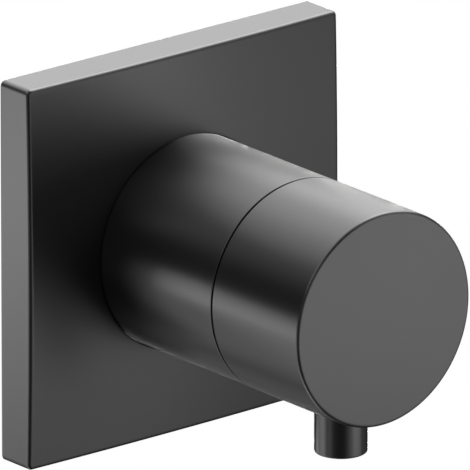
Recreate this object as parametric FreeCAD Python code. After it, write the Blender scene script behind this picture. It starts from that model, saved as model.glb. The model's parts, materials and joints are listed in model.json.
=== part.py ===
"""Concealed shut-off valve: a square crowned escutcheon, a round base sleeve and a
quarter-turn handle with a pin, on a brass body with a ceramic-disc headwork.

Millimetres, +Z up. The finished wall is the plane Y = 0 and the valve axis is the Y axis.
Places along that axis are written as s, the distance in front of the wall, so Y = -s.
The angle phi is counter-clockwise from +X as seen by someone who faces the handle.
The model stands in its closed position, with the handle's pin straight down.
"""
import FreeCAD
import Part
import math
import os

# Trim: sizes that show
projection = 80.0          # wall to the handle's front face
trim_diameter = 50.0       # sleeve and handle alike
handle_length = 29.8
seam_gap = 0.5             # between sleeve and handle
handle_rim_round = 0.7
seam_edge_break = 0.12
plate_width = 90.0
plate_corner_depth = 9.8   # wall to the front face, at a corner
crown_rise = 1.4           # the front face's middle above its corners
plate_front_round = 0.9
plate_corner_round = 1.2
plate_hole_gap = 0.15      # round the sleeve
pin_diameter = 12.0
pin_reach = 10.0           # out of the handle's side
pin_end_round = 0.4

# Escutcheon: cast shell with a gasket behind it
plate_side_wall = 2.0
plate_face_wall = 2.2
gasket_width = 3.5
gasket_depth = 4.0
gasket_gap = 0.1
hub_wall = 3.4
hub_rear = 1.0
rib_thickness = 1.8
rib_rear = 4.5
plate_seal_s = 5.2
plate_seal_space = 1.7     # radial room for the seal ring

# Base sleeve and what holds it
sleeve_wall = 2.2
sleeve_rear = 2.0
carrier_gap = 0.3
carrier_wall = 3.2
carrier_length = 32.0
carrier_web = 4.0
carrier_groove_depth = 1.6
rear_ring_s = 13.5
front_ring_s = 27.5
nut_length = 4.5
nut_gap = 0.4
nut_wall = 3.9
nut_slots = 4
nut_slot_width = 4.0
nut_slot_depth = 2.0
glide_wall = 1.9
glide_rear_length = 5.8
glide_front_length = 4.4
glide_lip_set_back = 1.5
glide_play = 0.08

# Brass body behind the wall
pipe_depth = 21.0          # wall to the pipe axis
port_reach = 28.5          # valve axis to a port's face
port_bore_radius = 9.316   # G1/2 female thread, at its crests
port_thread_length = 13.0
port_hex_flats = 27.0
port_hex_length = 12.0
port_neck_radius = 12.4
drum_radius = 17.0
drum_back = 33.0
drum_back_chamfer = 4.0
flange_radius = 20.0
flange_thickness = 4.0
flange_front = 2.0
neck_front = 10.0
seat_offset = 0.5
seat_wall = 3.0
seat_orifice_radius = 6.3
upper_chamber_radius = 12.25
lower_chamber_radius = 10.0
back_wall = 3.0
passage_width = 14.0
passage_height = 6.5

# Ceramic-disc headwork
headwork_thread_radius = 10.45
headwork_thread_length = 7.3
headwork_flange_radius = 12.3
headwork_flange_thickness = 3.0
headwork_face = 1.5
headwork_hex_flats = 17.0
headwork_hex_length = 7.5
headwork_neck_radius = 7.5
headwork_neck_length = 4.0
headwork_undercut = 1.6
cage_radius = 9.2
disc_chamber_radius = 7.7
disc_radius = 7.6
disc_thickness = 3.5
disc_port_inner = 2.2
disc_port_outer = 6.1
disc_port_angle = 76.0
disc_lug_width = 3.0
disc_lug_radius = 8.7
seal_lip_height = 0.8
seal_plug_height = 1.6
seal_bore_radius = 6.3
window_angle = 100.0
body_ring_space = 2.2
handle_travel = 90.0       # closed to open

# Spindle and the parts that turn with it
spindle_radius = 5.0
running_gap = 0.05
spindle_collar_radius = 7.0
spindle_collar_height = 0.65
driver_height = 2.5
driver_width = 5.0
tongue_width = 3.0
tongue_depth = 1.4
spindle_ring_groove = 1.25
spindle_ring_width = 1.9
washer_thickness = 0.8
stop_ring_height = 2.5
stop_lug_angle = 40.0
stop_play_angle = 1.0
clip_thickness = 0.65
clip_radius = 6.8
clip_opening = 60.0
spline_radius = 4.0
spline_depth = 0.45
spline_teeth = 20
spline_length = 10.0
extension_radius = 7.5
extension_spline_radius = 6.0
extension_spline_depth = 0.55
extension_spline_teeth = 18
extension_spline_length = 14.0
extension_web = 3.6
screw_radius = 1.95
screw_head_radius = 3.6
screw_head_height = 3.4
screw_key_flats = 3.0
screw_washer_thickness = 0.8

# Handle
skirt_wall = 2.5
skirt_length = 5.3
handle_wall = 3.2
front_wall = 4.5
boss_radius = 12.0
boss_length = 18.5
insert_radius = 8.0
insert_flats = 14.4
insert_end_wall = 2.0
pin_seat_depth = 1.4
pin_pad = 0.6
pin_thread_radius = 2.95
pin_key_flats = 4.0
pin_key_depth = 5.0
web_thickness = 2.0
web_length = 7.5

# Fits
slip = 0.1                 # parts that slide together by hand
snug = 0.02                # rings in their grooves
thread_gap = 0.05

ORIGIN = FreeCAD.Vector(0, 0, 0)
OUTWARD = FreeCAD.Vector(0, -1, 0)
UP = FreeCAD.Vector(0, 0, 1)
PAST = 1.0                 # how far a cutting tool runs past what it cuts

# Places along the valve axis
trim_radius = trim_diameter / 2
handle_rear = projection - handle_length
sleeve_front = handle_rear - seam_gap
pin_s = handle_rear + handle_length / 2
sleeve_bore = trim_radius - sleeve_wall
carrier_radius = sleeve_bore - carrier_gap
carrier_bore = carrier_radius - carrier_wall
neck_radius = carrier_bore - nut_gap - nut_wall
carrier_front = flange_front + carrier_length
nut_rear = flange_front + carrier_web
pipe_s = -pipe_depth
seat_s = pipe_s + seat_offset
chamber_front = headwork_face - body_ring_space - headwork_thread_length
cage_rear = seat_s + seal_lip_height
fixed_disc_rear = cage_rear + seal_plug_height
fixed_disc_front = fixed_disc_rear + disc_thickness
moving_disc_rear = fixed_disc_front + snug
moving_disc_front = moving_disc_rear + disc_thickness
driver_rear = moving_disc_front + running_gap
driver_front = driver_rear + driver_height
collar_front = driver_front + spindle_collar_height
washer_rear = collar_front + running_gap
shoulder_s = washer_rear + washer_thickness
hex_rear = headwork_face + headwork_flange_thickness
hex_front = hex_rear + headwork_hex_length
headwork_front = hex_front + headwork_neck_length
stop_floor = headwork_front - stop_ring_height - 2 * slip - 0.3
stop_recess_radius = headwork_neck_radius - 1.4
stop_rear = stop_floor + slip
clip_rear = headwork_front + running_gap
extension_rear = clip_rear + clip_thickness + 4 * slip
spindle_front = extension_rear + spline_length - 4 * slip
socket_front = extension_rear + spline_length
screw_seat = socket_front + extension_web
boss_front = projection - front_wall
boss_rear = boss_front - boss_length
extension_spline_front = boss_front - insert_end_wall - 1.5
extension_spline_rear = extension_spline_front - extension_spline_length
insert_rear = extension_spline_rear - 5 * slip
insert_front = boss_front - 1.2
crown_radius = (2 * (plate_width / 2) ** 2 + crown_rise ** 2) / (2 * crown_rise)
plate_front = plate_corner_depth + crown_rise
hub_bore = trim_radius + plate_hole_gap
pin_seat_radius = trim_radius - pin_seat_depth
pin_end_radius = trim_radius + pin_reach


def turned(profile):
    """Solid of revolution about the valve axis from (radius, s) corners."""
    corners = [FreeCAD.Vector(r, -s, 0) for r, s in profile]
    face = Part.Face(Part.makePolygon(corners + corners[:1]))
    return Part.Solid(face.revolve(ORIGIN, OUTWARD, 360))


def disc(radius, rear, front):
    return Part.makeCylinder(radius, front - rear, FreeCAD.Vector(0, -rear, 0), OUTWARD)


def tube(bore, radius, rear, front):
    return turned([(bore, rear), (radius, rear), (radius, front), (bore, front)])


def ring(centre_radius, cord_radius, s):
    return Part.makeTorus(centre_radius, cord_radius, FreeCAD.Vector(0, -s, 0), OUTWARD)


def slab(width, height, rear, front):
    """Block centred on the valve axis: width along X, height along Z."""
    corner = FreeCAD.Vector(-width / 2, -front, -height / 2)
    return Part.makeBox(width, front - rear, height, corner)


def sector(inner, outer, phi_from, phi_to, rear, front):
    """Part of a tube between two angles."""
    corners = [(inner, rear), (outer, rear), (outer, front), (inner, front)]
    points = [FreeCAD.Vector(r, -s, 0) for r, s in corners]
    section = Part.Face(Part.makePolygon(points + points[:1]))
    section.rotate(ORIGIN, OUTWARD, phi_from)
    return Part.Solid(section.revolve(ORIGIN, OUTWARD, phi_to - phi_from))


def prism(outline, rear, front):
    """Extrusion along the valve axis of a closed list of (x, z) corners."""
    corners = [FreeCAD.Vector(x, -rear, z) for x, z in outline]
    face = Part.Face(Part.makePolygon(corners + corners[:1]))
    return face.extrude(OUTWARD * (front - rear))


def hexagon(flats, turn=0.0):
    """Corners of a hexagon by its width across flats; two flats face +X and -X at turn 0."""
    corner = flats / math.sqrt(3)
    angles = [math.radians(30 + turn + 60 * i) for i in range(6)]
    return [(corner * math.cos(a), corner * math.sin(a)) for a in angles]


def serrated(tip, depth, teeth, rear, front):
    """Prism with fine V-shaped splines round it."""
    outline = []
    for i in range(2 * teeth):
        angle = math.pi * i / teeth
        radius = tip - depth * (i % 2)
        outline.append((radius * math.cos(angle), radius * math.sin(angle)))
    return prism(outline, rear, front)


def spin(shape, phi):
    """A copy of the shape, turned by phi about the valve axis."""
    copy = shape.copy()
    copy.rotate(ORIGIN, OUTWARD, phi)
    return copy


def edges_where(shape, test):
    """The edges whose every vertex passes test(radius, s, x, z)."""
    found = []
    for edge in shape.Edges:
        places = [(v.X, -v.Y, v.Z) for v in edge.Vertexes]
        if all(test(math.hypot(x, z), s, x, z) for x, s, z in places):
            found.append(edge)
    return found


def near(a, b):
    return abs(a - b) < 1e-4


def rounded_square(size, corner_round, rear, front):
    """Square block with its four long edges rounded."""
    block = slab(size, size, rear, front)
    long_edges = [e for e in block.Edges if near(e.Length, front - rear)]
    return block.makeFillet(corner_round, long_edges)


def crowned_block(size, corner_round, rear, radius):
    """Rounded square block whose front is cut to the crown's sphere."""
    block = rounded_square(size, corner_round, rear, plate_front + PAST)
    centre = FreeCAD.Vector(0, -(plate_front - crown_radius), 0)
    return block.common(Part.makeSphere(radius, centre))


def escutcheon():
    """Cast square cover: crowned face, side walls, gasket ledge, hub and diagonal ribs."""
    cover = crowned_block(plate_width, plate_corner_round, 0, crown_radius)
    half = plate_width / 2
    front_edges = [
        e for e in cover.Edges
        if e.BoundBox.YMax < -plate_corner_depth + 0.5 * crown_rise
        and max(e.BoundBox.XMax, -e.BoundBox.XMin, e.BoundBox.ZMax, -e.BoundBox.ZMin)
        > half - plate_corner_round - 0.01
    ]
    cover = cover.makeFillet(plate_front_round, front_edges)
    inside = plate_width - 2 * plate_side_wall
    recess = rounded_square(inside, plate_corner_round, -PAST, gasket_depth)
    pocket_size = inside - 2 * gasket_width
    pocket = crowned_block(pocket_size, plate_corner_round, gasket_depth - PAST,
                           crown_radius - plate_face_wall)
    hub = disc(hub_bore + hub_wall, hub_rear, plate_front)
    rib = slab(2 * pocket_size, rib_thickness, rib_rear, plate_front)
    ribs = spin(rib, 45).fuse(spin(rib, -45))
    hollow = pocket.cut(hub.fuse(ribs))
    cover = cover.cut(recess.cut(hub)).cut(hollow)
    bore = disc(hub_bore, -PAST, plate_front + PAST)
    rear_trim = disc(hub_bore + hub_wall + PAST, -PAST, hub_rear)
    groove = tube(hub_bore - PAST, trim_radius + plate_seal_space,
                  plate_seal_s - 0.65 * plate_seal_space,
                  plate_seal_s + 0.65 * plate_seal_space)
    return cover.cut(bore).cut(rear_trim.common(recess)).cut(groove)


def escutcheon_gasket():
    """Foam frame in the recess behind the cover, flush with the wall."""
    outer_size = plate_width - 2 * plate_side_wall - 2 * gasket_gap
    inner_size = outer_size - 2 * gasket_width + 2 * gasket_gap
    outer = rounded_square(outer_size, plate_corner_round, 0, gasket_depth)
    inner = rounded_square(inner_size, plate_corner_round, -PAST, gasket_depth + PAST)
    return outer.cut(inner)


def escutcheon_seal():
    """Rubber ring in the hub's groove that grips the sleeve."""
    cord = plate_seal_space / 2 - snug
    return ring(trim_radius + plate_seal_space / 2, cord, plate_seal_s)


def base_sleeve():
    """Plain metal tube, fixed, between the cover and the handle."""
    b = seam_edge_break
    return turned([
        (sleeve_bore, sleeve_rear), (trim_radius, sleeve_rear),
        (trim_radius, sleeve_front - b), (trim_radius - b, sleeve_front),
        (sleeve_bore, sleeve_front),
    ])


def ring_groove(bottom_radius, outer_radius, s, cord_space):
    """Cutting tool for a ring's groove in a round part."""
    half = 0.6 * cord_space
    return tube(bottom_radius, outer_radius, s - half, s + half)


def trim_carrier():
    """Plastic collar on the body's flange; the sleeve pushes over its two rings."""
    cup = turned([
        (neck_radius + slip, flange_front), (carrier_radius, flange_front),
        (carrier_radius, carrier_front - PAST), (carrier_radius - PAST, carrier_front),
        (carrier_bore, carrier_front), (carrier_bore, nut_rear),
        (neck_radius + slip, nut_rear),
    ])
    bottom = carrier_radius - carrier_groove_depth
    space = sleeve_bore - bottom
    for s in (rear_ring_s, front_ring_s):
        cup = cup.cut(ring_groove(bottom, carrier_radius + PAST, s, space))
    return cup


def sleeve_ring(s):
    """Rubber ring between carrier and sleeve."""
    bottom = carrier_radius - carrier_groove_depth
    space = sleeve_bore - bottom
    return ring(bottom + space / 2, space / 2 - snug, s)


def ring_nut():
    """Slotted brass nut that clamps the carrier on the body's neck."""
    outer = carrier_bore - nut_gap
    front = nut_rear + nut_length
    nut = tube(neck_radius + thread_gap, outer, nut_rear, front)
    slot = Part.makeBox(outer, nut_slot_depth + PAST, nut_slot_width,
                        FreeCAD.Vector(outer - nut_slot_depth, -front - PAST,
                                       -nut_slot_width / 2))
    for i in range(nut_slots):
        nut = nut.cut(spin(slot, 45 + 360 * i / nut_slots))
    return nut


def glide_ring():
    """Plastic ring in the sleeve's mouth that centres the handle and fills the seam."""
    outer = sleeve_bore - slip
    inner = outer - glide_wall
    lip = trim_radius - glide_lip_set_back
    lip_front = handle_rear - glide_play
    guide = trim_radius - skirt_wall - slip
    return turned([
        (inner, sleeve_front - glide_rear_length), (outer, sleeve_front - glide_rear_length),
        (outer, sleeve_front), (lip, sleeve_front), (lip, lip_front), (guide, lip_front),
        (guide, handle_rear + glide_front_length), (inner, handle_rear + glide_front_length),
    ])


def port_neck(side):
    """One threaded end of the body; side is +1 for the upper port and -1 for the lower."""
    centre = FreeCAD.Vector(0, -pipe_s, 0)
    neck = Part.makeCylinder(port_neck_radius, port_reach, centre, UP * side)
    corners = [
        FreeCAD.Vector(x, y - pipe_s, side * (port_reach - port_hex_length))
        for y, x in hexagon(port_hex_flats)
    ]
    nut_end = Part.Face(Part.makePolygon(corners + corners[:1]))
    nut_end = nut_end.extrude(UP * (side * port_hex_length))
    corner_radius = port_hex_flats / math.sqrt(3)
    cone_height = port_hex_length + corner_radius - port_hex_flats / 2 + 0.6
    cone = Part.makeCone(corner_radius + port_hex_length,
                         corner_radius + port_hex_length - cone_height,
                         cone_height,
                         FreeCAD.Vector(0, -pipe_s, side * (port_reach - port_hex_length)),
                         UP * side)
    return neck.fuse(nut_end.common(cone))


def port_bore(side):
    """Thread bore with a lead-in, from the port's face inwards."""
    face = FreeCAD.Vector(0, -pipe_s, side * port_reach)
    bore = Part.makeCylinder(port_bore_radius, port_thread_length, face, UP * -side)
    lead = 1.2
    mouth = Part.makeCone(port_bore_radius + lead, port_bore_radius, lead, face, UP * -side)
    return bore.fuse(mouth)


def passage(side, rear):
    """Rounded channel between a port and its chamber."""
    height = port_reach - port_thread_length
    low = 0 if side > 0 else -height
    box = Part.makeBox(passage_width, passage_height, height,
                       FreeCAD.Vector(-passage_width / 2, -rear - passage_height, low))
    long_edges = [e for e in box.Edges if near(e.Length, height)]
    return box.makeFillet(0.45 * passage_height, long_edges)


def valve_body():
    """In-line brass forging: two threaded ports, a valve seat and the headwork's thread."""
    b = 0.8
    drum = turned([
        (0, -drum_back), (drum_radius - drum_back_chamfer, -drum_back),
        (drum_radius, -drum_back + drum_back_chamfer),
        (drum_radius, flange_front - flange_thickness),
        (flange_radius - b, flange_front - flange_thickness),
        (flange_radius, flange_front - flange_thickness + b),
        (flange_radius, flange_front), (neck_radius, flange_front),
        (neck_radius, neck_front - b), (neck_radius - b, neck_front), (0, neck_front),
    ])
    body = drum.fuse([port_neck(1), port_neck(-1)])
    lower_rear = -drum_back + back_wall
    lower_front = seat_s - seat_wall
    hollow = disc(lower_chamber_radius, lower_rear, lower_front)
    hollow = hollow.fuse([
        disc(seat_orifice_radius, lower_front - PAST, seat_s + PAST),
        disc(upper_chamber_radius, seat_s, chamber_front),
        disc(headwork_thread_radius + thread_gap, chamber_front - PAST, headwork_face),
        disc(headwork_thread_radius + 4 * slip, headwork_face - body_ring_space,
             headwork_face),
        disc(headwork_flange_radius + 3 * slip, headwork_face, neck_front + PAST),
        port_bore(1), port_bore(-1),
        passage(1, seat_s + seat_offset * 2), passage(-1, lower_front - passage_height),
    ])
    return body.cut(hollow).removeSplitter()


def headwork_housing():
    """Brass upper part: disc cage with windows, thread, flange, hexagon and stop posts."""
    undercut = headwork_thread_radius - headwork_undercut
    shell = turned([
        (disc_chamber_radius, cage_rear), (cage_radius, cage_rear),
        (cage_radius, chamber_front), (headwork_thread_radius, chamber_front),
        (headwork_thread_radius, headwork_face - body_ring_space),
        (undercut, headwork_face - body_ring_space), (undercut, headwork_face),
        (headwork_flange_radius, headwork_face), (headwork_flange_radius, hex_rear - 0.4),
        (headwork_flange_radius - 0.4, hex_rear), (headwork_neck_radius, hex_rear),
        (headwork_neck_radius, headwork_front), (stop_recess_radius, headwork_front),
        (stop_recess_radius, stop_floor), (spindle_radius + running_gap, stop_floor),
        (spindle_radius + running_gap, shoulder_s), (disc_chamber_radius, shoulder_s),
    ])
    collar = prism(hexagon(headwork_hex_flats), hex_rear - 0.2, hex_front)
    corner_radius = headwork_hex_flats / math.sqrt(3)
    top_cone = Part.makeCone(corner_radius + headwork_hex_length, corner_radius - 0.8,
                             headwork_hex_length + 0.8,
                             FreeCAD.Vector(0, -hex_rear, 0), OUTWARD)
    collar = collar.common(top_cone.fuse(disc(corner_radius, hex_rear - PAST, hex_rear)))
    collar = collar.cut(disc(spindle_radius + PAST, hex_rear - PAST, hex_front + PAST))
    shell = shell.fuse(collar)
    window = sector(disc_chamber_radius - PAST, cage_radius + PAST,
                    90 - window_angle / 2, 90 + window_angle / 2,
                    moving_disc_rear + disc_thickness / 2, shoulder_s - 4 * slip)
    slot = Part.makeBox(cage_radius + PAST, disc_thickness + seal_plug_height + PAST,
                        disc_lug_width + 2 * slip,
                        FreeCAD.Vector(0, -fixed_disc_front, -disc_lug_width / 2 - slip))
    lug_sweep = handle_travel + stop_lug_angle + 2 * stop_play_angle
    stop_opening = sector(stop_recess_radius - PAST, headwork_neck_radius + PAST,
                          -lug_sweep / 2, lug_sweep / 2, stop_floor, headwork_front + PAST)
    for cutter in (window, slot, stop_opening):
        shell = shell.cut(cutter).cut(spin(cutter, 180))
    return shell


def housing_ring():
    """Rubber ring under the headwork's flange."""
    space = headwork_undercut + 4 * slip
    inner = headwork_thread_radius - headwork_undercut
    return ring(inner + space / 2, space / 2 - snug, headwork_face - body_ring_space / 2)


def seat_seal():
    """Rubber lip ring between the body's seat and the fixed disc."""
    lip = cage_radius - slip
    plug = disc_chamber_radius - slip
    return turned([
        (seal_bore_radius, seat_s), (lip, seat_s), (lip, cage_rear), (plug, cage_rear),
        (plug, fixed_disc_rear), (seal_bore_radius - 1.0, fixed_disc_rear),
    ])


def disc_ports(phi, rear, front):
    """Two opposite openings through a ceramic disc."""
    half = disc_port_angle / 2
    one = sector(disc_port_inner, disc_port_outer, phi - half, phi + half,
                 rear - PAST, front + PAST)
    return one.fuse(spin(one, 180))


def fixed_disc():
    """Ceramic disc, held by two lugs in the cage's slots."""
    plate = disc(disc_radius, fixed_disc_rear, fixed_disc_front)
    bar = slab(2 * disc_lug_radius, disc_lug_width, fixed_disc_rear, fixed_disc_front)
    plate = plate.fuse(bar)
    return plate.cut(disc_ports(90, fixed_disc_rear, fixed_disc_front)).removeSplitter()


def moving_disc():
    """Ceramic disc, turned by the spindle's tongue; closed, its ports stand across."""
    plate = disc(disc_radius - slip, moving_disc_rear, moving_disc_front)
    groove = slab(tongue_width + 2 * slip, 2 * disc_radius + PAST,
                  moving_disc_front - tongue_depth - slip, moving_disc_front + PAST)
    ports = disc_ports(90 - handle_travel, moving_disc_rear, moving_disc_front)
    return plate.cut(ports).cut(groove)


def spindle_ring_place(index):
    """Middle of the spindle's lower (0) or upper (1) ring groove."""
    low = shoulder_s + 2.5 * spindle_ring_width
    high = hex_front - 1.5 * spindle_ring_width
    return (low, high)[index]


def spindle():
    """Brass spindle: driver tongue, collar, two ring grooves, splined end, screw hole."""
    shaft = turned([
        (0, driver_rear), (spindle_radius, driver_rear), (spindle_radius, driver_front),
        (spindle_collar_radius, driver_front), (spindle_collar_radius, collar_front),
        (spindle_radius, collar_front), (spindle_radius, stop_floor), (0, stop_floor),
    ])
    bar = slab(driver_width, 2 * disc_radius, driver_rear, driver_front)
    tongue = slab(tongue_width, 2 * disc_radius, driver_rear - tongue_depth, driver_rear)
    envelope = disc(disc_chamber_radius - 0.5, driver_rear - tongue_depth, driver_front)
    drive = bar.fuse(tongue).common(envelope)
    end = serrated(spline_radius, spline_depth, spline_teeth, stop_floor, spindle_front)
    lead = Part.makeCone(spline_radius + spline_length, spline_radius - 0.5,
                         spline_length + 0.5,
                         FreeCAD.Vector(0, -(spindle_front - spline_length), 0), OUTWARD)
    end = end.common(lead.fuse(disc(2 * spline_radius, stop_floor - PAST,
                                    spindle_front - spline_length)))
    post = shaft.fuse([drive, end])
    groove_bottom = spindle_radius - spindle_ring_groove
    for index in (0, 1):
        middle = spindle_ring_place(index)
        half = spindle_ring_width / 2
        post = post.cut(tube(groove_bottom, spindle_radius + PAST,
                             middle - half, middle + half))
    clip_groove = tube(spline_radius - 0.8, spindle_radius + PAST, clip_rear,
                       clip_rear + clip_thickness + slip)
    hole = disc(screw_radius + thread_gap, headwork_front - PAST, spindle_front + PAST)
    return post.cut(clip_groove).cut(hole)


def spindle_ring(index):
    """Rubber ring in one of the spindle's grooves."""
    cord = spindle_ring_groove / 2 - snug
    return ring(spindle_radius - spindle_ring_groove / 2, cord, spindle_ring_place(index))


def thrust_washer():
    """Plastic washer between the spindle's collar and the housing's shoulder."""
    return tube(spindle_radius + 2 * running_gap, disc_chamber_radius - slip,
                washer_rear, shoulder_s)


def stop_ring():
    """Splined ring whose two lugs meet the housing's posts at closed and at open."""
    hub = disc(stop_recess_radius - slip, stop_rear, stop_rear + stop_ring_height)
    closed = -handle_travel / 2
    lug = sector(spline_radius + PAST, headwork_neck_radius - slip,
                 closed - stop_lug_angle / 2, closed + stop_lug_angle / 2,
                 stop_rear, stop_rear + stop_ring_height)
    bore = serrated(spline_radius + running_gap, spline_depth, spline_teeth,
                    stop_rear - PAST, headwork_front)
    return hub.fuse([lug, spin(lug, 180)]).cut(bore).removeSplitter()


def retaining_clip():
    """Spring-steel clip in the spindle's groove, against the housing's end."""
    band = tube(spline_radius - 0.8 + snug, clip_radius, clip_rear,
                clip_rear + clip_thickness)
    mouth = sector(0.5, clip_radius + PAST, 90 - clip_opening / 2, 90 + clip_opening / 2,
                   clip_rear - PAST, clip_rear + clip_thickness + PAST)
    return band.cut(mouth)


def spindle_extension():
    """Brass rod that carries the spindle's turn forward into the handle."""
    shoulder = insert_rear - 2 * slip
    chamfer = 0.6
    rod = turned([
        (0, extension_rear), (extension_radius - chamfer, extension_rear),
        (extension_radius, extension_rear + chamfer),
        (extension_radius, shoulder - chamfer), (extension_radius - chamfer, shoulder),
        (0, shoulder),
    ])
    end = serrated(extension_spline_radius, extension_spline_depth,
                   extension_spline_teeth, shoulder, extension_spline_front)
    socket = serrated(spline_radius + running_gap, spline_depth, spline_teeth,
                      extension_rear - PAST, socket_front)
    rod = rod.fuse(end).cut(socket)
    rod = rod.cut(disc(screw_radius + 2 * slip, extension_rear, screw_seat + PAST))
    return rod.cut(disc(screw_head_radius + 2 * slip, screw_seat,
                        extension_spline_front + PAST))


def screw_washer():
    """Steel washer under the extension screw's head."""
    return tube(screw_radius + 2 * slip, screw_head_radius + slip, screw_seat,
                screw_seat + screw_washer_thickness)


def extension_screw():
    """Socket-head screw that holds the extension on the spindle."""
    head_rear = screw_seat + screw_washer_thickness
    head_front = head_rear + screw_head_height
    chamfer = 0.3
    screw = turned([
        (0, headwork_front), (screw_radius - chamfer, headwork_front),
        (screw_radius, headwork_front + chamfer), (screw_radius, head_rear),
        (screw_head_radius, head_rear), (screw_head_radius, head_front - chamfer),
        (screw_head_radius - chamfer, head_front), (0, head_front),
    ])
    key = prism(hexagon(screw_key_flats), head_front - 0.6 * screw_head_height,
                head_front + PAST)
    return screw.cut(key)


def flattened_disc(radius, flats, rear, front):
    """Cylinder with two flats, above and below."""
    return disc(radius, rear, front).common(slab(2 * radius + PAST, flats, rear, front))


def handle_insert():
    """Plastic bush: splined on the extension, two flats in the handle's boss."""
    bush = flattened_disc(insert_radius, insert_flats, insert_rear, insert_front)
    socket = serrated(extension_spline_radius + running_gap, extension_spline_depth,
                      extension_spline_teeth, insert_rear - PAST,
                      extension_spline_front + 3 * slip)
    return bush.cut(socket)


def downward(radius, top, bottom):
    """Cylinder under the valve axis, at the pin's place, between two depths."""
    return Part.makeCylinder(radius, bottom - top, FreeCAD.Vector(0, -pin_s, -top), UP * -1)


def handle_shell():
    """Cast cup with a closed front, a keyed boss, stiffening webs and the pin's seat."""
    b = seam_edge_break
    skirt = trim_radius - skirt_wall
    inner = trim_radius - handle_wall
    cup = turned([
        (skirt, handle_rear), (trim_radius - b, handle_rear), (trim_radius, handle_rear + b),
        (trim_radius, projection), (0, projection), (0, boss_front), (inner, boss_front),
        (inner, handle_rear + skirt_length + 0.7), (skirt, handle_rear + skirt_length),
    ])
    rim = edges_where(cup, lambda r, s, x, z: near(r, trim_radius) and near(s, projection))
    cup = cup.makeFillet(handle_rim_round, rim)
    boss = disc(boss_radius, boss_rear, boss_front + 0.5)
    pad = downward(pin_diameter / 2 + pin_pad, boss_radius - 2, trim_radius - handle_wall + 0.5)
    web = slab(2 * trim_radius - handle_wall, web_thickness, boss_front - web_length,
               boss_front + 0.5)
    upright = Part.makeBox(web_thickness, web_length + 0.5, trim_radius - handle_wall / 2,
                           FreeCAD.Vector(-web_thickness / 2, -boss_front - 0.5, 0))
    shell = cup.fuse([boss, pad, web, upright])
    bore = flattened_disc(insert_radius + slip, insert_flats + 2 * slip,
                          boss_rear - PAST, insert_front + 2 * slip)
    seat = downward(pin_diameter / 2 + snug, pin_seat_radius, trim_radius + PAST)
    thread = downward(pin_thread_radius + thread_gap, 0, trim_radius)
    return shell.cut(bore).cut(seat).cut(thread)


def handle_pin():
    """Round pin that turns the handle; its threaded shank also clamps the insert."""
    head = downward(pin_diameter / 2, pin_seat_radius, pin_end_radius)
    end = [e for e in head.Edges if near(e.BoundBox.ZMax, -pin_end_radius)]
    head = head.makeFillet(pin_end_round, end)
    tip = insert_flats / 2 + slip
    shank = downward(pin_thread_radius, tip + 1.0, pin_seat_radius)
    point = Part.makeCone(pin_thread_radius, pin_thread_radius - 1.0, 1.0,
                          FreeCAD.Vector(0, -pin_s, -tip - 1.0), UP)
    corner = pin_key_flats / math.sqrt(3)
    key = Part.makePolygon([
        FreeCAD.Vector(corner * math.cos(math.radians(60 * i)),
                       corner * math.sin(math.radians(60 * i)) - pin_s, -pin_end_radius)
        for i in range(7)
    ])
    key = Part.Face(key).extrude(UP * pin_key_depth)
    return head.fuse([shank, point]).cut(key)


def build():
    return {
        "escutcheon": escutcheon(),
        "escutcheon_gasket": escutcheon_gasket(),
        "escutcheon_seal": escutcheon_seal(),
        "base_sleeve": base_sleeve(),
        "trim_carrier": trim_carrier(),
        "sleeve_ring_rear": sleeve_ring(rear_ring_s),
        "sleeve_ring_front": sleeve_ring(front_ring_s),
        "ring_nut": ring_nut(),
        "glide_ring": glide_ring(),
        "valve_body": valve_body(),
        "headwork_housing": headwork_housing(),
        "housing_ring": housing_ring(),
        "seat_seal": seat_seal(),
        "fixed_disc": fixed_disc(),
        "thrust_washer": thrust_washer(),
        "moving_disc": moving_disc(),
        "spindle": spindle(),
        "spindle_ring_lower": spindle_ring(0),
        "spindle_ring_upper": spindle_ring(1),
        "stop_ring": stop_ring(),
        "retaining_clip": retaining_clip(),
        "spindle_extension": spindle_extension(),
        "screw_washer": screw_washer(),
        "extension_screw": extension_screw(),
        "handle_insert": handle_insert(),
        "handle_shell": handle_shell(),
        "handle_pin": handle_pin(),
    }


os.makedirs("parts", exist_ok=True)
for name, shape in build().items():
    solids = shape.Solids
    if len(solids) != 1 or not shape.isValid() or solids[0].Volume <= 0:
        print("check", name, len(solids), shape.isValid(), shape.Volume)
    solids[0].exportStep("parts/" + name + ".step")
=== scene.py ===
import json
import math

import bpy
import bmesh
from mathutils import Matrix, Vector

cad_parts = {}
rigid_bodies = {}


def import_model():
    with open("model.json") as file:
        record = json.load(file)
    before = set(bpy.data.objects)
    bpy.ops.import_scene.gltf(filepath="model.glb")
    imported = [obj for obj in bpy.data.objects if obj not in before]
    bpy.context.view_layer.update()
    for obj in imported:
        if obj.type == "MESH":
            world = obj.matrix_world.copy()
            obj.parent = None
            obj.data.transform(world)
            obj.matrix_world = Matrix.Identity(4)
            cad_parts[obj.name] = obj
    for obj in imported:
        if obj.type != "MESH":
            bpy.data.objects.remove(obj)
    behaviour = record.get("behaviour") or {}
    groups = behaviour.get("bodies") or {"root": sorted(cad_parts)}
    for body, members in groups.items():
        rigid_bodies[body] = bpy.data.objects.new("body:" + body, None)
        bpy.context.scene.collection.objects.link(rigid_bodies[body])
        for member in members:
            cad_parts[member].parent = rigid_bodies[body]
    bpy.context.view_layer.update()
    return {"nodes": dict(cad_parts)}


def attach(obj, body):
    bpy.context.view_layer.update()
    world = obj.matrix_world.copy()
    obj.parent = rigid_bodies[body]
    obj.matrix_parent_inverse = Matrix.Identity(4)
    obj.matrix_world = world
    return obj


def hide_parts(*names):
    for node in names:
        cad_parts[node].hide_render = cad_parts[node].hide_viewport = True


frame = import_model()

MM = 0.001


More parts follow.
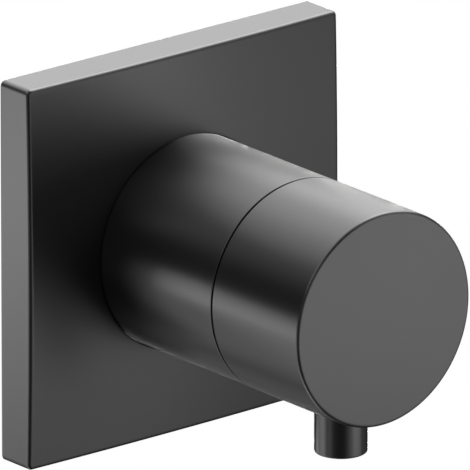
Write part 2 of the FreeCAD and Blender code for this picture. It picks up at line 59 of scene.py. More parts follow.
# --- Valve body ---
# Hot-forged brass, with a thin flash line where the two dies met and machined pipe threads
# in its upper and lower ports. It sits in the wall, and the supply pipes hold it.
pipe_depth = 21.0 * MM
port_face = 28.5 * MM
port_mouth_radius = 10.516 * MM
port_crest_radius = 9.316 * MM
port_bore_end = 15.5 * MM
thread_pitch = 1.814 * MM
thread_depth = 1.162 * MM
thread_end = 11.8 * MM
thread_run_out = 1.0 * MM
thread_steps = 20
flash_height = 0.15 * MM
flash_half_width = 0.45 * MM
flash_front = 5.0 * MM
drum_radius = 17.0 * MM
drum_back = 33.0 * MM
drum_chamfer = 4.1 * MM
hex_start = 16.5 * MM
flange_rear = -2.0 * MM


def surface(name, colour, metallic, roughness, tone=0.05, spread=0.05, grain=900.0,
            relief=0.0, relief_size=900.0):
    """Node material: colour with slow tone changes, fine roughness grain, optional relief."""
    material = bpy.data.materials.new(name)
    material.use_nodes = True
    nodes, links = material.node_tree.nodes, material.node_tree.links
    shader = nodes["Principled BSDF"]
    shader.inputs["Metallic"].default_value = metallic
    place = nodes.new("ShaderNodeTexCoord").outputs["Object"]

    def noise(scale, detail):
        field = nodes.new("ShaderNodeTexNoise")
        field.inputs["Scale"].default_value = scale
        field.inputs["Detail"].default_value = detail
        links.new(place, field.inputs["Vector"])
        return field.outputs["Fac"]

    shade = nodes.new("ShaderNodeMix")
    shade.data_type = "RGBA"
    shade.inputs["A"].default_value = (*[c * (1 - tone) for c in colour], 1.0)
    shade.inputs["B"].default_value = (*[min(1.0, c * (1 + tone)) for c in colour], 1.0)
    links.new(noise(45.0, 3.0), shade.inputs["Factor"])
    links.new(shade.outputs["Result"], shader.inputs["Base Color"])
    matt = nodes.new("ShaderNodeMapRange")
    matt.inputs["To Min"].default_value = roughness - spread
    matt.inputs["To Max"].default_value = roughness + spread
    links.new(noise(grain, 4.0), matt.inputs["Value"])
    links.new(matt.outputs["Result"], shader.inputs["Roughness"])
    if relief:
        bump = nodes.new("ShaderNodeBump")
        bump.inputs["Strength"].default_value = relief
        bump.inputs["Distance"].default_value = 0.05 * MM
        links.new(noise(relief_size, 3.0), bump.inputs["Height"])
        links.new(bump.outputs["Normal"], shader.inputs["Normal"])
    return material


def finish_nodes(material, *names):
    """Gives CAD nodes a material."""
    for name in names:
        for place in frame["nodes"][name].material_slots:
            place.material = material


def pull(shape, loop, place):
    """Extrudes a closed loop of edges and moves each new vertex to its place."""
    made = bmesh.ops.extrude_edge_only(shape, edges=loop)["geom"]
    fresh = {vert for vert in made if isinstance(vert, bmesh.types.BMVert)}
    for vert in fresh:
        vert.co = place(vert.co)
    return [edge for edge in made
            if isinstance(edge, bmesh.types.BMEdge) and fresh.issuperset(edge.verts)]


def stand_for(shape, name, materials, body, node, sharp=36.0):
    """Makes a finished bmesh the object that takes a CAD node's place."""
    bmesh.ops.remove_doubles(shape, verts=shape.verts, dist=0.002 * MM)
    bmesh.ops.recalc_face_normals(shape, faces=shape.faces)
    mesh = bpy.data.meshes.new(name)
    shape.to_mesh(mesh)
    shape.free()
    mesh.polygons.foreach_set("use_smooth", [True] * len(mesh.polygons))
    if sharp:
        mesh.set_sharp_from_angle(angle=math.radians(sharp))
    for material in materials:
        mesh.materials.append(material)
    piece = bpy.data.objects.new(name, mesh)
    bpy.context.scene.collection.objects.link(piece)
    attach(piece, body)
    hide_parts(node)
    return piece


def port_radius(point):
    """Distance of a point from the pipe axis."""
    return math.hypot(point.x, point.y - pipe_depth)


def in_port(point):
    """Whether a point is in one of the ports' threaded bores."""
    return port_radius(point) < port_mouth_radius + 0.01 * MM and abs(point.z) > port_bore_end


def thread_reach(angle, height, depth):
    """Radius of the right-hand pipe thread, its mouth cone and its run-out at one point."""
    turn = (height / thread_pitch - angle / (2 * math.pi)) % 1.0
    flank = (1 - abs(2 * turn - 1)) * 1.5 - 0.25
    flank = min(1.0, max(0.0, flank))
    fade = min(1.0, max(0.0, (thread_end + thread_run_out - depth) / thread_run_out))
    thread = port_crest_radius + thread_depth * fade * flank * flank * (3 - 2 * flank)
    return max(thread, port_mouth_radius - depth)


def cut_thread(shape, side):
    """Swaps one port's plain bore wall for a threaded one."""
    wall = [
        face for face in shape.faces
        if side * face.calc_center_median().z > port_bore_end and abs(face.normal.z) < 0.9
        and all(port_crest_radius - 0.01 * MM < port_radius(vert.co) < port_mouth_radius + 0.01 * MM
                for vert in face.verts)
    ]
    bmesh.ops.delete(shape, geom=wall, context="FACES")
    rims = [edge for edge in shape.edges if edge.is_boundary]
    mouth = [e for e in rims if abs(e.verts[0].co.z - side * port_face) < 0.01 * MM]
    floor_rim = [e for e in rims if abs(e.verts[0].co.z - side * port_bore_end) < 0.01 * MM]
    loop, step = mouth, thread_pitch / thread_steps
    for i in range(1, int((port_face - port_bore_end) / step)):
        height = side * (port_face - i * step)

        def place(point):
            angle = math.atan2(point.y - pipe_depth, point.x)
            reach = thread_reach(angle, height, i * step)
            return Vector((reach * math.cos(angle), pipe_depth + reach * math.sin(angle), height))

        loop = pull(shape, loop, place)
    bmesh.ops.bridge_loops(shape, edges=loop + floor_rim)


def raise_flash(shape):
    """Leaves the dies' flash line along the forging's middle plane, clear of the hexagons."""
    for x in (-flash_half_width, 0.0, flash_half_width):
        bmesh.ops.bisect_plane(shape, geom=shape.verts[:] + shape.edges[:] + shape.faces[:],
                               plane_co=(x, 0, 0), plane_no=(1, 0, 0), dist=0.001 * MM)
    shape.normal_update()
    for vert in shape.verts:
        height = abs(vert.co.z)
        on_back = vert.co.y > drum_back - drum_chamfer and vert.normal.y > 0.3
        on_side = abs(height - drum_radius) < 0.01 * MM and vert.co.y < flash_front
        clear = height < hex_start - 0.1 * MM if on_back else vert.co.y > 0.2 * MM - flange_rear
        if abs(vert.co.x) < 0.002 * MM and (on_back or on_side) and clear:
            away = Vector((0, vert.normal.y, vert.normal.z))
            vert.co += away.normalized() * flash_height


forged_brass = surface("forged_brass", (0.66, 0.45, 0.20), 1.0, 0.46, tone=0.12, spread=0.10,
                       grain=700.0, relief=0.6, relief_size=600.0)
turned_brass = surface("turned_brass", (0.78, 0.57, 0.27), 1.0, 0.26)
body_shape = bmesh.new()
body_shape.from_mesh(frame["nodes"]["valve_body"].data)
bmesh.ops.remove_doubles(body_shape, verts=body_shape.verts, dist=0.002 * MM)
raise_flash(body_shape)
cut_thread(body_shape, 1)
cut_thread(body_shape, -1)
bmesh.ops.recalc_face_normals(body_shape, faces=body_shape.faces)
for face in body_shape.faces:
    middle = face.calc_center_median()
    machined = middle.y < -flange_rear or abs(middle.z) > port_face - 0.01 * MM
    face.material_index = 1 if machined or in_port(middle) else 0
for edge in body_shape.edges:
    on_face = all(abs(vert.co.z) > port_face - 0.01 * MM for vert in edge.verts)
    threaded = all(in_port(vert.co) for vert in edge.verts) and not on_face
    bend = 60.0 if threaded else 12.0
    edge.smooth = edge.calc_face_angle(0.0) < math.radians(bend)
stand_for(body_shape, "body_forging", (forged_brass, turned_brass), "valve", "valve_body",
          sharp=None)


# --- Headwork ---
# Turned brass upper part, screwed into the body with a rubber ring under its flange. A rubber
# seat and two lapped ceramic discs stand in its cage; the lower disc can't turn.
finish_nodes(turned_brass, "headwork_housing")
seal_rubber = surface("seal_rubber", (0.018, 0.018, 0.018), 0.0, 0.55, relief=0.2)
finish_nodes(seal_rubber, "housing_ring", "seat_seal")
white_ceramic = surface("white_ceramic", (0.82, 0.80, 0.76), 0.0, 0.22, tone=0.02)
finish_nodes(white_ceramic, "fixed_disc", "moving_disc")


# --- Spindle ---
# Turned brass with a tongue that drives the upper disc, two rubber rings, a plastic thrust
# washer, a splined stop ring and a spring-steel clip.
finish_nodes(turned_brass, "spindle", "stop_ring")
finish_nodes(seal_rubber, "spindle_ring_lower", "spindle_ring_upper")
white_plastic = surface("white_plastic", (0.70, 0.70, 0.67), 0.0, 0.42, tone=0.02)
finish_nodes(white_plastic, "thrust_washer")
bright_steel = surface("bright_steel", (0.50, 0.50, 0.51), 1.0, 0.30)
finish_nodes(bright_steel, "retaining_clip")


# --- Trim carrier ---
# Moulded black collar on the body's flange, held by a slotted brass nut. The sleeve pushes on
# over its two rubber rings.
black_plastic = surface("black_plastic", (0.02, 0.02, 0.02), 0.0, 0.42, relief=0.15,
                        relief_size=2500.0)
finish_nodes(black_plastic, "trim_carrier")
finish_nodes(turned_brass, "ring_nut")
finish_nodes(seal_rubber, "sleeve_ring_rear", "sleeve_ring_front")


# --- Base sleeve ---
# Drawn metal tube with a fine satin finish, its ends faced and their edges just broken. It
# stays still between the cover and the handle.
sleeve_radius = 25.0 * MM
sleeve_bore = 22.8 * MM
sleeve_rear = 2.0 * MM
sleeve_front = 49.7 * MM
edge_break = 0.12 * MM


def satin(name, stretch, lean):
    """Brushed satin metal: fine lines along one direction of the piece, a soft glint across."""
    material = surface(name, satin_colour, 1.0, satin_roughness, tone=0.03, spread=0.02,
                       grain=1400.0)
    nodes, links = material.node_tree.nodes, material.node_tree.links
    shader = nodes["Principled BSDF"]
    shader.inputs["Anisotropic"].default_value = satin_anisotropy
    turn = nodes.new("ShaderNodeVectorTransform")
    turn.vector_type = "VECTOR"
    turn.convert_from, turn.convert_to = "OBJECT", "WORLD"
    turn.inputs["Vector"].default_value = lean
    links.new(turn.outputs["Vector"], shader.inputs["Tangent"])
    scale = nodes.new("ShaderNodeMapping")
    scale.inputs["Scale"].default_value = stretch
    links.new(nodes.new("ShaderNodeTexCoord").outputs["Object"], scale.inputs["Vector"])
    lines = nodes.new("ShaderNodeTexNoise")
    lines.inputs["Scale"].default_value = 1.0
    lines.inputs["Detail"].default_value = 2.0
    links.new(scale.outputs["Vector"], lines.inputs["Vector"])
    bump = nodes.new("ShaderNodeBump")
    bump.inputs["Strength"].default_value = 0.12
    bump.inputs["Distance"].default_value = 0.004 * MM
    links.new(lines.outputs["Fac"], bump.inputs["Height"])
    links.new(bump.outputs["Normal"], shader.inputs["Normal"])
    return material


def hold_ends(edge):
    """Adds a vertex near both ends of a long edge, so that smooth shading keeps it straight."""
    for end in edge.verts[:]:
        longest = max(end.link_edges, key=lambda near_edge: near_edge.calc_length())
        bmesh.utils.edge_split(longest, end, 0.25 * MM / longest.calc_length())


def lathe(section, steps=192):
    """Turns a closed section of (radius, s, edge round) corners about the valve axis."""
    shape = bmesh.new()
    corners = [shape.verts.new((radius, -s, 0)) for radius, s, edge_round in section]
    shape.faces.new(corners)
    for corner, (radius, s, edge_round) in zip(corners, section):
        if edge_round:
            bmesh.ops.bevel(shape, geom=[corner], offset=edge_round, offset_type="OFFSET",
                            affect="VERTICES", segments=6, profile=0.5, material=-1)
    for edge in [e for e in shape.edges if e.calc_length() > 2 * MM]:
        hold_ends(edge)
    bmesh.ops.delete(shape, geom=shape.faces[:], context="FACES_ONLY")
    on_axis = [e for e in shape.edges if all(abs(v.co.x) < 0.001 * MM for v in e.verts)]
    bmesh.ops.delete(shape, geom=on_axis, context="EDGES")
    bmesh.ops.spin(shape, geom=shape.verts[:] + shape.edges[:], cent=(0, 0, 0), axis=(0, 1, 0),
                   angle=2 * math.pi, steps=steps, use_merge=True)
    return shape


satin_colour = (0.20, 0.20, 0.20)
satin_roughness = 0.33
satin_anisotropy = 0.72
round_satin = satin("round_satin", (150.0, 9000.0, 150.0), (0.0, 1.0, 0.04))
sleeve_shape = lathe([
    (sleeve_bore, sleeve_rear, 0.3 * MM), (sleeve_radius, sleeve_rear, 0.5 * MM),
    (sleeve_radius, sleeve_front, edge_break), (sleeve_bore, sleeve_front, edge_break),
])
stand_for(sleeve_shape, "sleeve_tube", (round_satin,), "valve", "base_sleeve")


# --- Cover ---
# Cast square cover that slides along the sleeve to the wall: a slightly crowned face, a foam
# gasket on a ledge behind it, a hub with a rubber ring, and four diagonal ribs.
cover_half = 45.0 * MM
cover_corner_depth = 9.8 * MM
cover_crown = 1.4 * MM
cover_corner_round = 1.2 * MM
cover_front_round = 0.9 * MM
cover_rear_round = 0.3 * MM
cover_side_wall = 2.0 * MM
cover_face_wall = 2.2 * MM
ledge_width = 3.5 * MM
ledge_depth = 4.0 * MM
inner_round = 0.8 * MM
hub_bore = 25.15 * MM
hub_radius = 28.55 * MM
hub_rear = 1.0 * MM
seal_groove_radius = 26.7 * MM
seal_groove_rear = 4.095 * MM
seal_groove_front = 6.305 * MM
rib_thickness = 1.8 * MM
rib_rear = 4.5 * MM
rib_front = 8.6 * MM
rib_inner = 28.0 * MM
rib_outer = 55.6 * MM

crown_radius = (2 * cover_half ** 2 + cover_crown ** 2) / (2 * cover_crown)
crown_front = cover_corner_depth + cover_crown
crown_tilt = math.asin((cover_half - cover_front_round) / crown_radius)
face_inset = cover_front_round * (1 - math.sin(crown_tilt))


def face_depth(reach, wall=0.0):
    """How far the crowned face, or the roof under it, stands from the wall at one radius."""
    radius = crown_radius - wall
    return crown_front - crown_radius + math.sqrt(radius ** 2 - reach ** 2)


def square_reach(point, inset, corner):
    """Distance from the axis, along a point's ray, to the cover's outline moved inwards."""
    across, up = sorted((abs(point.x), abs(point.z)), reverse=True)
    length = math.hypot(across, up)
    across, up = across / length, up / length
    core = cover_half - inset - corner
    if up / across * (core + corner) <= core:
        return (core + corner) / across
    lean = core * (across + up)
    return lean + math.sqrt(lean ** 2 - 2 * core ** 2 + corner ** 2)


def on_ray(point, reach, s):
    """The place on a point's ray at a distance from the axis and from the wall."""
    length = math.hypot(point.x, point.z)
    return Vector((point.x / length * reach, -s, point.z / length * reach))


def square_loop(inset, s, corner=cover_corner_round):
    """Loop along the cover's outline, moved inwards, at one depth."""
    return lambda point: on_ray(point, square_reach(point, inset, corner), s)


def round_loop(radius, s):
    """Circular loop at one depth."""
    return lambda point: on_ray(point, radius, s)


def front_edge_loop(angle, below=0.0):
    """Loop on the rounded front edge: 90 degrees meets the side, the crown's tilt the face."""
    def place(point):
        seam = square_reach(point, face_inset, cover_corner_round - face_inset)
        centre = face_depth(seam) - cover_front_round * math.cos(crown_tilt)
        inset = cover_front_round * (1 - math.sin(angle))
        reach = square_reach(point, inset, cover_corner_round - inset)
        return on_ray(point, reach, centre - below + cover_front_round * math.cos(angle))
    return place


def face_loop(share):
    """Loop on the crowned face between the hub's bore, at 0, and the front edge, at 1."""
    def place(point):
        seam = square_reach(point, face_inset, cover_corner_round - face_inset)
        reach = share * seam + (1 - share) * (hub_bore + edge_break)
        return on_ray(point, reach, face_depth(reach))
    return place


def roof_loop(share):
    """Loop on the pocket's roof between the hub, at 0, and the pocket's walls, at 1."""
    def place(point):
        wall = square_reach(point, cover_side_wall + ledge_width + inner_round,
                            0.4 * cover_corner_round)
        reach = share * wall + (1 - share) * (hub_radius + inner_round)
        return on_ray(point, reach, face_depth(reach, cover_face_wall))
    return place


def roof_corner_loop(angle):
    """Loop in the hollow between the pocket's roof, at 90 degrees, and its walls, at 0."""
    def place(point):
        inset = cover_side_wall + ledge_width + inner_round * (1 - math.cos(angle))
        reach = square_reach(point, inset, 0.4 * cover_corner_round)
        roof = face_depth(reach, cover_face_wall) - inner_round
        return on_ray(point, reach, roof + inner_round * math.sin(angle))
    return place


def cover_loops():
    """The cover's loops in order: side, front edge, face, bore, hub, pocket, ledge and rim."""
    quarter = math.pi / 2
    yield square_loop(0.0, cover_rear_round + 0.25 * MM)
    yield front_edge_loop(quarter, below=0.3 * MM)
    for i in range(8):
        yield front_edge_loop(quarter + (crown_tilt - quarter) * i / 7)
    for share in (0.985, 0.86, 0.7, 0.54, 0.38, 0.24, 0.12, 0.04, 0.012, 0.0):
        yield face_loop(share)
    front = face_depth(hub_bore)
    for i in (1, 2, 3):
        turn = quarter * i / 3
        yield round_loop(hub_bore + edge_break * (1 - math.sin(turn)),
                         front - edge_break * (1 - math.cos(turn)))
    for radius, s in (
        (hub_bore, front - 3 * edge_break), (hub_bore, seal_groove_front),
        (seal_groove_radius, seal_groove_front), (seal_groove_radius, seal_groove_rear),
        (hub_bore, seal_groove_rear), (hub_bore, hub_rear + 2 * edge_break),
        (hub_bore + 2 * edge_break, hub_rear), (hub_radius - 2 * edge_break, hub_rear),
        (hub_radius, hub_rear + 2 * edge_break),
    ):
        yield round_loop(radius, s)
    hub_top = face_depth(hub_radius, cover_face_wall) - inner_round
    for i in range(4):
        turn = quarter * i / 4
        yield round_loop(hub_radius + inner_round * (1 - math.cos(turn)),
                         hub_top + inner_round * math.sin(turn))
    for share in (0.0, 0.02, 0.2, 0.4, 0.6, 0.8, 0.98):
        yield roof_loop(share)
    for i in range(4, -1, -1):
        yield roof_corner_loop(quarter * i / 4)
    ledge = cover_side_wall + ledge_width
    yield square_loop(ledge, ledge_depth, 0.4 * cover_corner_round)
    yield square_loop(cover_side_wall, ledge_depth)
    yield square_loop(cover_side_wall, edge_break)
    yield square_loop(cover_side_wall - edge_break, 0.0)
    yield square_loop(cover_rear_round, 0.0, cover_corner_round - cover_rear_round)
    yield square_loop(0.3 * cover_rear_round, 0.3 * cover_rear_round)
    yield square_loop(0.0, cover_rear_round)


cover_shape = bmesh.new()
bmesh.ops.create_circle(cover_shape, cap_ends=True, segments=4, radius=cover_half * math.sqrt(2),
                        matrix=Matrix.Rotation(math.radians(45), 4, "Z"))
bmesh.ops.bevel(cover_shape, geom=cover_shape.verts[:], offset=cover_corner_round,
                offset_type="OFFSET", affect="VERTICES", segments=8, profile=0.5, material=-1)
for edge in [e for e in cover_shape.edges if e.calc_length() > cover_half]:
    hold_ends(edge)
long_edges = [e for e in cover_shape.edges if e.calc_length() > cover_half]
bmesh.ops.subdivide_edges(cover_shape, edges=long_edges, cuts=47)
bmesh.ops.delete(cover_shape, geom=cover_shape.faces[:], context="FACES_ONLY")
bmesh.ops.rotate(cover_shape, verts=cover_shape.verts, cent=(0, 0, 0),
                 matrix=Matrix.Rotation(math.radians(90), 3, "X"))
rear_loop = square_loop(0.0, cover_rear_round)
for vert in cover_shape.verts:
    vert.co = rear_loop(vert.co)
loop = cover_shape.edges[:]
for place in cover_loops():
    loop = pull(cover_shape, loop, place)
for i in range(4):
    middle = Matrix.Translation(((rib_inner + rib_outer) / 2, -(rib_rear + rib_front) / 2, 0))
    size = Matrix.Diagonal((rib_outer - rib_inner, rib_front - rib_rear, rib_thickness, 1))
    turn = Matrix.Rotation(math.radians(45 + 90 * i), 4, "Y")
    rib = bmesh.ops.create_cube(cover_shape, size=1.0, matrix=turn @ middle @ size)["verts"]
    rear_edges = [e for e in cover_shape.edges if set(e.verts) <= set(rib)
                  and e.calc_length() > 10 * MM and all(v.co.y > -rib_rear - MM for v in e.verts)]
    bmesh.ops.bevel(cover_shape, geom=rear_edges, offset=0.3 * MM, offset_type="OFFSET",
                    affect="EDGES", segments=2, profile=0.5, material=-1)
for face in cover_shape.faces:
    middle = face.calc_center_median()
    behind = -middle.y < face_depth(math.hypot(middle.x, middle.z)) - 1.0 * MM
    inside = max(abs(middle.x), abs(middle.z)) < cover_half - cover_side_wall + 0.05 * MM
    face.material_index = 1 if behind and inside else 0
flat_satin = satin("flat_satin", (150.0, 150.0, 9000.0), (0.0, 0.04, 1.0))
cast_back = surface("cast_back", (0.19, 0.19, 0.19), 1.0, 0.50, tone=0.10, spread=0.08,
                    relief=0.5, relief_size=700.0)
stand_for(cover_shape, "cover", (flat_satin, cast_back), "valve", "escutcheon",
          sharp=40.0)

foam_rubber = surface("foam_rubber", (0.03, 0.03, 0.032), 0.0, 0.85, relief=1.0,
                      relief_size=1500.0)
finish_nodes(foam_rubber, "escutcheon_gasket")
finish_nodes(seal_rubber, "escutcheon_seal")


# --- Glide ring and extension ---
# A moulded ring in the sleeve's mouth centres the handle. A splined brass rod, held by a
# socket-head screw and washer, carries the spindle's turn forward into the handle's bush.
finish_nodes(black_plastic, "glide_ring")
finish_nodes(turned_brass, "spindle_extension")
finish_nodes(bright_steel, "screw_washer", "extension_screw")
finish_nodes(white_plastic, "handle_insert")


# --- Handle shell ---
# Cast cup with a closed flat front and a turned skirt. Inside, a keyed boss takes the splined
# bush, three webs brace it, and a pad carries the pin's thread.
handle_rear = 50.2 * MM
handle_front = 80.0 * MM
handle_rim_round = 0.7 * MM
skirt_bore = 22.5 * MM
skirt_length = 5.3 * MM
handle_bore = 21.8 * MM
front_wall = 4.5 * MM
boss_radius = 12.0 * MM
boss_rear = 57.0 * MM
bush_radius = 8.1 * MM
bush_flat = 7.3 * MM
bush_end = 74.5 * MM
web_rear = 68.0 * MM
web_thickness = 2.0 * MM
pad_radius = 6.6 * MM
pad_top = 10.0 * MM
pin_s = 65.1 * MM


def keyed_loop(s):
    """Loop round the boss's bore, a circle with a flat above and below."""
    def place(point):
        spot = on_ray(point, bush_radius, s)
        spot.z = max(-bush_flat, min(bush_flat, spot.z))
        return spot
    return place


roof_s = handle_front - front_wall
shell_shape = lathe([
    (skirt_bore, handle_rear, edge_break), (sleeve_radius, handle_rear, edge_break),
    (sleeve_radius, handle_front, handle_rim_round), (0.0, handle_front, 0.0),
    (0.0, roof_s, 0.0), (handle_bore, roof_s, 1.0 * MM),
    (handle_bore, handle_rear + skirt_length + 0.7 * MM, 0.0),
    (skirt_bore, handle_rear + skirt_length, 0.0),
])
boss = bmesh.ops.create_circle(
    shell_shape, cap_ends=True, segments=96, radius=boss_radius,
    matrix=Matrix.Translation((0, -roof_s - 0.5 * MM, 0)) @ Matrix.Rotation(math.pi / 2, 4, "X"))
boss_verts = set(boss["verts"])
loop = [e for e in shell_shape.edges if set(e.verts) <= boss_verts and len(e.link_faces) == 1]
for place in (
    round_loop(boss_radius, boss_rear + 0.5 * MM), round_loop(boss_radius - 0.5 * MM, boss_rear),
    keyed_loop(boss_rear), keyed_loop(bush_end), round_loop(0.2 * MM, bush_end),
):
    loop = pull(shell_shape, loop, place)
bmesh.ops.edgeloop_fill(shell_shape, edges=loop)
for turn in (0, 90, 180):
    length = handle_bore + 1.5 * MM - boss_radius + 0.5 * MM
    middle = Matrix.Translation((boss_radius - 0.5 * MM + length / 2,
                                 -(web_rear + roof_s + 0.5 * MM) / 2, 0))
    size = Matrix.Diagonal((length, roof_s + 0.5 * MM - web_rear, web_thickness, 1))
    bmesh.ops.create_cube(shell_shape, size=1.0,
                          matrix=Matrix.Rotation(math.radians(-turn), 4, "Y") @ middle @ size)
pad_length = handle_bore + 0.5 * MM - pad_top
bmesh.ops.create_cone(shell_shape, cap_ends=True, segments=72, radius1=pad_radius,
                      radius2=pad_radius, depth=pad_length,
                      matrix=Matrix.Translation((0, -pin_s, -pad_top - pad_length / 2)))
stand_for(shell_shape, "handle_cup", (round_satin,), "handle", "handle_shell")


# --- Handle pin ---
# Turned pin screwed into the handle's side, finished like the trim. Its end has a rounded
# edge and the hexagon socket that it is screwed in with.
pin_radius = 6.0 * MM
pin_seat = 23.6 * MM
pin_end = 35.0 * MM
pin_end_round = 0.4 * MM
shank_radius = 2.95 * MM
shank_tip = 7.3 * MM
key_flats = 4.0 * MM
key_mouth_radius = 2.6 * MM
key_depth = 5.0 * MM


def on_pin(point, reach, drop):
    """The place on a point's ray from the pin's axis, at a depth under the valve axis."""
    across, out = point.x, point.y + pin_s
    length = math.hypot(across, out)
    return Vector((across / length * reach, out / length * reach - pin_s, -drop))


def pin_loop(radius, drop):
    """Round loop of the pin."""
    return lambda point: on_pin(point, radius, drop)


def key_loop(drop):
    """Hexagonal loop of the pin's socket."""
    def place(point):
        angle = math.degrees(math.atan2(point.y + pin_s, point.x)) % 60 - 30
        return on_pin(point, key_flats / 2 / math.cos(math.radians(angle)), drop)
    return place


pin_shape = bmesh.new()
bmesh.ops.create_circle(pin_shape, cap_ends=True, segments=96, radius=shank_radius - 1.0 * MM,
                        matrix=Matrix.Translation((0, -pin_s, -shank_tip)))
loop = pin_shape.edges[:]
for place in (
    pin_loop(shank_radius, shank_tip + 1.0 * MM), pin_loop(shank_radius, pin_seat),
    pin_loop(pin_radius - edge_break, pin_seat), pin_loop(pin_radius, pin_seat + edge_break),
    pin_loop(pin_radius, pin_end - pin_end_round - 0.25 * MM),
):
    loop = pull(pin_shape, loop, place)
for i in range(7):
    turn = math.pi / 2 * i / 6
    radius = pin_radius - pin_end_round * (1 - math.cos(turn))
    loop = pull(pin_shape, loop,
                pin_loop(radius, pin_end - pin_end_round * (1 - math.sin(turn))))
for place in (
    pin_loop(pin_radius - pin_end_round - 0.2 * MM, pin_end),
    pin_loop(key_mouth_radius + 0.2 * MM, pin_end), pin_loop(key_mouth_radius, pin_end),
    key_loop(pin_end - 0.3 * MM), key_loop(pin_end - key_depth),
    pin_loop(0.3 * MM, pin_end - key_depth - 0.9 * MM),
):
    loop = pull(pin_shape, loop, place)
bmesh.ops.edgeloop_fill(pin_shape, edges=loop)
pin_satin = satin("pin_satin", (150.0, 150.0, 9000.0), (0.04, 0.0, 1.0))
stand_for(pin_shape, "turning_pin", (pin_satin,), "handle", "handle_pin",
          sharp=30.0)


# --- Studio ---
# A pale floor well under the valve, and white all round for the camera. The metal sees round
# soft panels of light in a dark studio, which the world holds, and a few small lamps.
floor_half = 1.2
floor_drop = 1.2
studio_dark = 0.035
wall_white = 1.0
diffuse_level = 0.8
side_lamp_size = 0.85

floor_mesh = bpy.data.meshes.new("studio_floor")
floor_shape = bmesh.new()
bmesh.ops.create_grid(floor_shape, x_segments=1, y_segments=1, size=floor_half)
bmesh.ops.translate(floor_shape, verts=floor_shape.verts, vec=(0, 0, -floor_drop))
floor_shape.to_mesh(floor_mesh)
floor_shape.free()
floor = bpy.data.objects.new("studio_floor", floor_mesh)
bpy.context.scene.collection.objects.link(floor)
floor_paint = surface("floor_paint", (0.8, 0.8, 0.8), 0.0, 0.6, tone=0.01)
floor_mesh.materials.append(floor_paint)
floor.visible_glossy = False

world = bpy.data.worlds.new("studio_world")
bpy.context.scene.world = world
world.use_nodes = True
sky, sky_links = world.node_tree.nodes, world.node_tree.links
background = sky["Background"]
direction = sky.new("ShaderNodeTexCoord").outputs["Generated"]


def panel(name, axis, inner, outer, strength):
    """Round soft panel of light in one direction: full inside one angle, none past the other."""
    dot = sky.new("ShaderNodeVectorMath")
    dot.operation = "DOT_PRODUCT"
    dot.inputs[1].default_value = Vector(axis).normalized()
    sky_links.new(direction, dot.inputs[0])
    fade = sky.new("ShaderNodeMapRange")
    fade.name = name
    fade.interpolation_type = "SMOOTHSTEP"
    fade.inputs["From Min"].default_value = math.cos(math.radians(outer))
    fade.inputs["From Max"].default_value = math.cos(math.radians(inner))
    fade.inputs["To Min"].default_value = 0.0
    fade.inputs["To Max"].default_value = strength
    sky_links.new(dot.outputs["Value"], fade.inputs["Value"])
    return fade.outputs["Result"]


def add(first, second):
    """Adds two strengths."""
    total = sky.new("ShaderNodeMath")
    total.operation = "ADD"
    for i, value in enumerate((first, second)):
        if isinstance(value, float):
            total.inputs[i].default_value = value
        else:
            sky_links.new(value, total.inputs[i])
    return total


studio = studio_dark
for soft_panel in (
    ("right_up", (0.63, 0.22, 0.745), 8, 32, 3.19),
    ("back_right_up", (0.608, 0.725, 0.324), 8, 30, 0.92),
    ("back_up_right", (0.355, 0.725, 0.591), 8, 30, 0.63),
    ("back_up", (0.0, 0.725, 0.689), 8, 30, 0.74),
    ("top", (0.0, 0.20, 0.98), 8, 32, 0.52),
    ("left_up", (-0.63, 0.20, 0.75), 8, 32, 0.60),
    ("back_left_low", (-0.634, 0.725, -0.269), 4, 15, 0.34),
    ("back_low", (-0.292, 0.899, -0.327), 4, 15, 1.08),
    ("left_low_back", (-0.797, 0.50, -0.338), 5, 20, 0.65),
    ("left_low", (-0.945, 0.0, -0.327), 4, 15, 0.30),
    ("left_lower", (-0.533, 0.50, -0.682), 5, 20, 0.85),
    ("below_left", (-0.335, 0.20, -0.921), 5, 20, 1.22),
    ("below_back", (0.076, 0.50, -0.863), 5, 20, 0.37),
    ("front_right_up", (0.65, -0.55, 0.50), 10, 32, 0.23),
    ("front_right_low", (0.606, -0.725, -0.328), 8, 26, 0.13),
    ("front_low", (0.25, -0.90, -0.33), 5, 25, 0.27),
    ("front", (-0.08, -0.99, 0.08), 4, 20, 0.40),
    ("right", (0.97, -0.22, 0.0), 4, 18, 0.40),
    ("left", (-0.97, -0.22, 0.10), 4, 20, 0.15),
    ("behind", (0.0, 1.0, 0.0), 4, 20, 0.80),
):
    total = add(panel(*soft_panel), studio)
    studio = total.outputs["Value"]

rays = sky.new("ShaderNodeLightPath")


def switch(ray, value, otherwise):
    """Picks a strength by the kind of ray."""
    mix = sky.new("ShaderNodeMix")
    sky_links.new(rays.outputs[ray], mix.inputs["Factor"])
    for socket, source in ((mix.inputs["A"], otherwise), (mix.inputs["B"], value)):
        if isinstance(source, float):
            socket.default_value = source
        else:
            sky_links.new(source, socket)
    return mix.outputs["Result"]


strength = switch("Is Diffuse Ray", diffuse_level, studio)
strength = switch("Is Transmission Ray", wall_white, strength)
strength = switch("Is Camera Ray", wall_white, strength)
sky_links.new(strength, background.inputs["Strength"])
background.inputs["Color"].default_value = (1, 1, 1, 1)


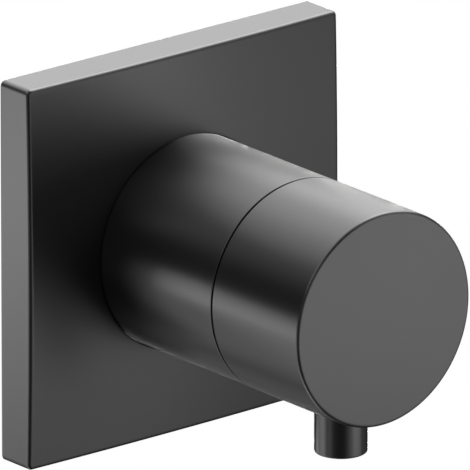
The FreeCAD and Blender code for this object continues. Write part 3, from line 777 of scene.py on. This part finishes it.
def soft_box(name, place, aim, size, watts):
    """Square area lamp that the camera doesn't see."""
    data = bpy.data.lights.new(name, "AREA")
    data.shape = "SQUARE"
    data.size = size
    data.energy = watts
    lamp = bpy.data.objects.new(name, data)
    bpy.context.scene.collection.objects.link(lamp)
    lamp.location = place
    lamp.rotation_mode = "QUATERNION"
    lamp.rotation_quaternion = (Vector(aim) - Vector(place)).to_track_quat("-Z", "Y")
    lamp.visible_camera = False
    return lamp


for small_light in (
    ("front_light", (0.082, -0.21, -0.022), (-0.02, -0.08, 0.01), 0.12, 0.0247),
    ("front_right_light", (0.19, -0.192, -0.042), (0.04, -0.01, 0.04), 0.075, 0.0064),
    ("front_low_light", (0.11, -0.192, -0.122), (-0.04, -0.01, -0.04), 0.075, 0.0020),
    ("left_light", (-0.2015, 0.184, -0.055), (-0.045, -0.005, 0.03), 0.078, 0.0214),
):
    soft_box(*small_light)

# The side lamps light the sleeve past the cover: only the pieces in this collection shade them.
shading_pieces = bpy.data.collections.new("shading_pieces")
for piece in bpy.context.scene.objects:
    if piece.type == "MESH" and piece.name not in ("cover", "escutcheon_gasket",
                                                   "escutcheon_seal", "studio_floor"):
        shading_pieces.objects.link(piece)
for name, place, watts in (("right_low_light", (1.129, 1.449, -0.791), 1.18),
                           ("right_light", (1.331, 1.449, -0.357), 2.10),
                           ("right_up_light", (1.357, 1.449, 0.239), 1.44)):
    side_light = soft_box(name, place, (0, 0, 0), side_lamp_size, watts)
    side_light.light_linking.blocker_collection = shading_pieces
    side_light.data.cycles.use_multiple_importance_sampling = False

camera_data = bpy.data.cameras.new("camera")
camera = bpy.data.objects.new("camera", camera_data)
bpy.context.scene.collection.objects.link(camera)
bpy.context.scene.camera = camera
camera_data.lens = 1500
camera_data.sensor_width = 36
camera_data.clip_end = 50
camera.location = (-2.64635, -3.22767, 1.44193)
aim = Vector((-0.004072, -0.032893, 0.008334))
camera.rotation_mode = "QUATERNION"
camera.rotation_quaternion = (aim - camera.location).to_track_quat("-Z", "Y")
bpy.context.scene.view_settings.view_transform = "Standard"
